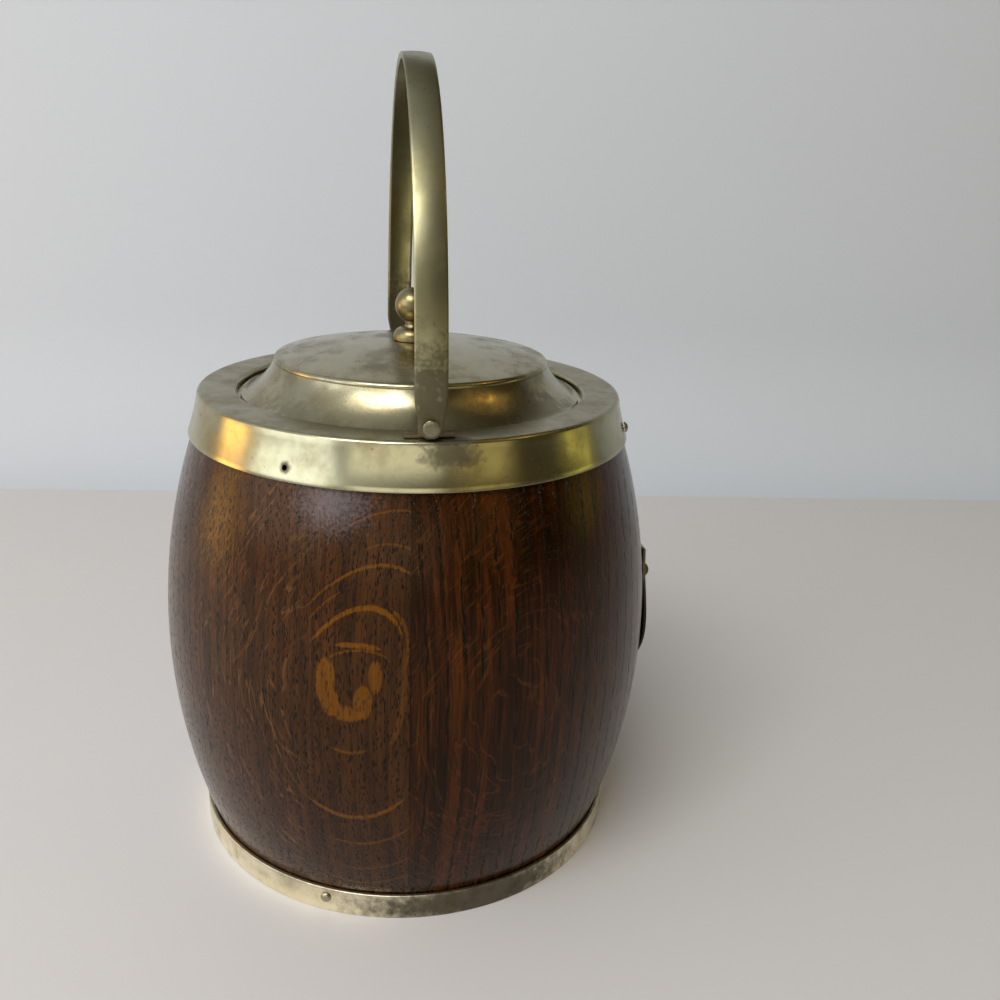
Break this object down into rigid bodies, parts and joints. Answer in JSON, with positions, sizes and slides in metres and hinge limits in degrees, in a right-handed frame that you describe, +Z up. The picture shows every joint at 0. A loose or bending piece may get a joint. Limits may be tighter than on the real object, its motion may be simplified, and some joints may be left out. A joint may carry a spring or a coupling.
{
  "type": "biscuit barrel",
  "caption": "Bellied oak barrel in worn plated mounts, with a china liner, a lift-off domed lid with a ball knob, and an arched swing handle.",
  "frame": {"origin": "middle of the flat underside, on the plane that the barrel stands on", "axes": "+Z up along the barrel's axis; -Y to the shield at the front; X along the handle's pivots, the left lug at -X"},
  "size_m": [0.1594, 0.1623, 0.2478],
  "materials": {
    "oak": "dark stained quarter-sawn oak under glossy lacquer",
    "china": "opaque glazed white china",
    "plate": "worn and tarnished silver plate on nickel brass",
    "pin_metal": "worn plated pins",
    "bolt_brass": "plain brass"
  },
  "bodies": {
    "body": {"stave_1": "oak", "stave_2": "oak", "stave_3": "oak", "stave_4": "oak", "base_board": "oak", "china_liner": "china", "collar": "plate", "collar_pin_1": "pin_metal", "collar_pin_2": "pin_metal", "base_hoop": "plate", "hoop_pin_1": "pin_metal", "hoop_pin_2": "pin_metal", "hoop_pin_3": "pin_metal", "shield": "plate", "shield_pin_1": "pin_metal", "shield_pin_2": "pin_metal", "shield_pin_3": "pin_metal", "lug_left": "plate", "lug_right": "plate", "rivet_left": "pin_metal", "rivet_right": "pin_metal"},
    "handle": {"handle": "plate"},
    "lid": {"lid": "plate", "lid_bezel": "plate", "knob": "plate", "knob_base": "plate", "knob_stud": "bolt_brass", "knob_washer": "bolt_brass", "knob_nut": "bolt_brass"}
  },
  "joints": [
    {"name": "handle_swing", "type": "hinge", "parent": "body", "child": "handle", "pos_m": [0, 0, 0.1535], "axis": [1, 0, 0], "range_deg": [-82, 82]},
    {"name": "lid_lift", "type": "slide", "parent": "body", "child": "lid", "axis": [0, 0, 1], "range_m": [0, 0.045]}
  ]
}
